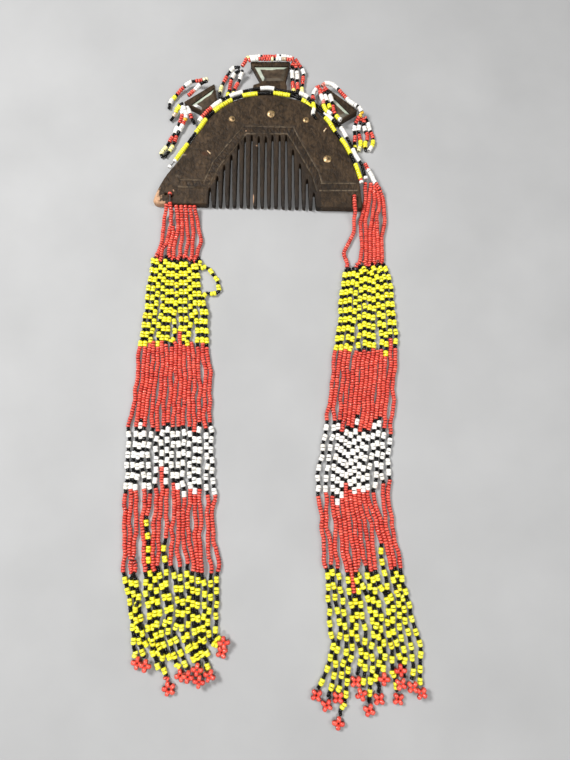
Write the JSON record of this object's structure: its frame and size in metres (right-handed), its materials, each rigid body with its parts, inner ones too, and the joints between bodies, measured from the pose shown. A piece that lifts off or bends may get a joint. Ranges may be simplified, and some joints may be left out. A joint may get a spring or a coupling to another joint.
{
  "type": "beaded hair comb",
  "caption": "Carved half-moon wooden hair comb with mirror finials, brass tacks, strings of seed beads round its arch and two long bead bands with fringed ends.",
  "frame": {"origin": "middle of the line of tooth tips, on the flat back of the comb", "axes": "+Z out of the carved face, +Y from the tooth tips to the top of the arch, +X to the right seen from the face; the bead bands run towards -Y"},
  "size_m": [0.1393, 0.3373, 0.0079],
  "materials": {
    "dark_wood": "dark stained, hand carved, worn",
    "mirror_glass": "old mirror glass with ground edges",
    "brass": "tarnished",
    "nail_steel": "dull",
    "bead_red": "opaque glossy glass",
    "bead_yellow": "opaque glossy glass",
    "bead_white": "opaque glossy glass",
    "bead_black": "opaque glossy glass"
  },
  "bodies": {
    "root": {"comb_body": "dark_wood", "mirror_left": "mirror_glass", "mirror_top": "mirror_glass", "mirror_right": "mirror_glass", "tack_left": "brass", "tack_top": "brass", "tack_right": "brass", "tack_low": "brass", "nail_left": "nail_steel", "nail_right": "nail_steel", "arch_string_inner": "bead_yellow", "arch_string_outer": "bead_white", "loops_left": "bead_black", "loops_top": "bead_white", "loops_right": "bead_red", "bead_band_left": "bead_red", "bead_band_right": "bead_red"}
  },
  "joints": []
}
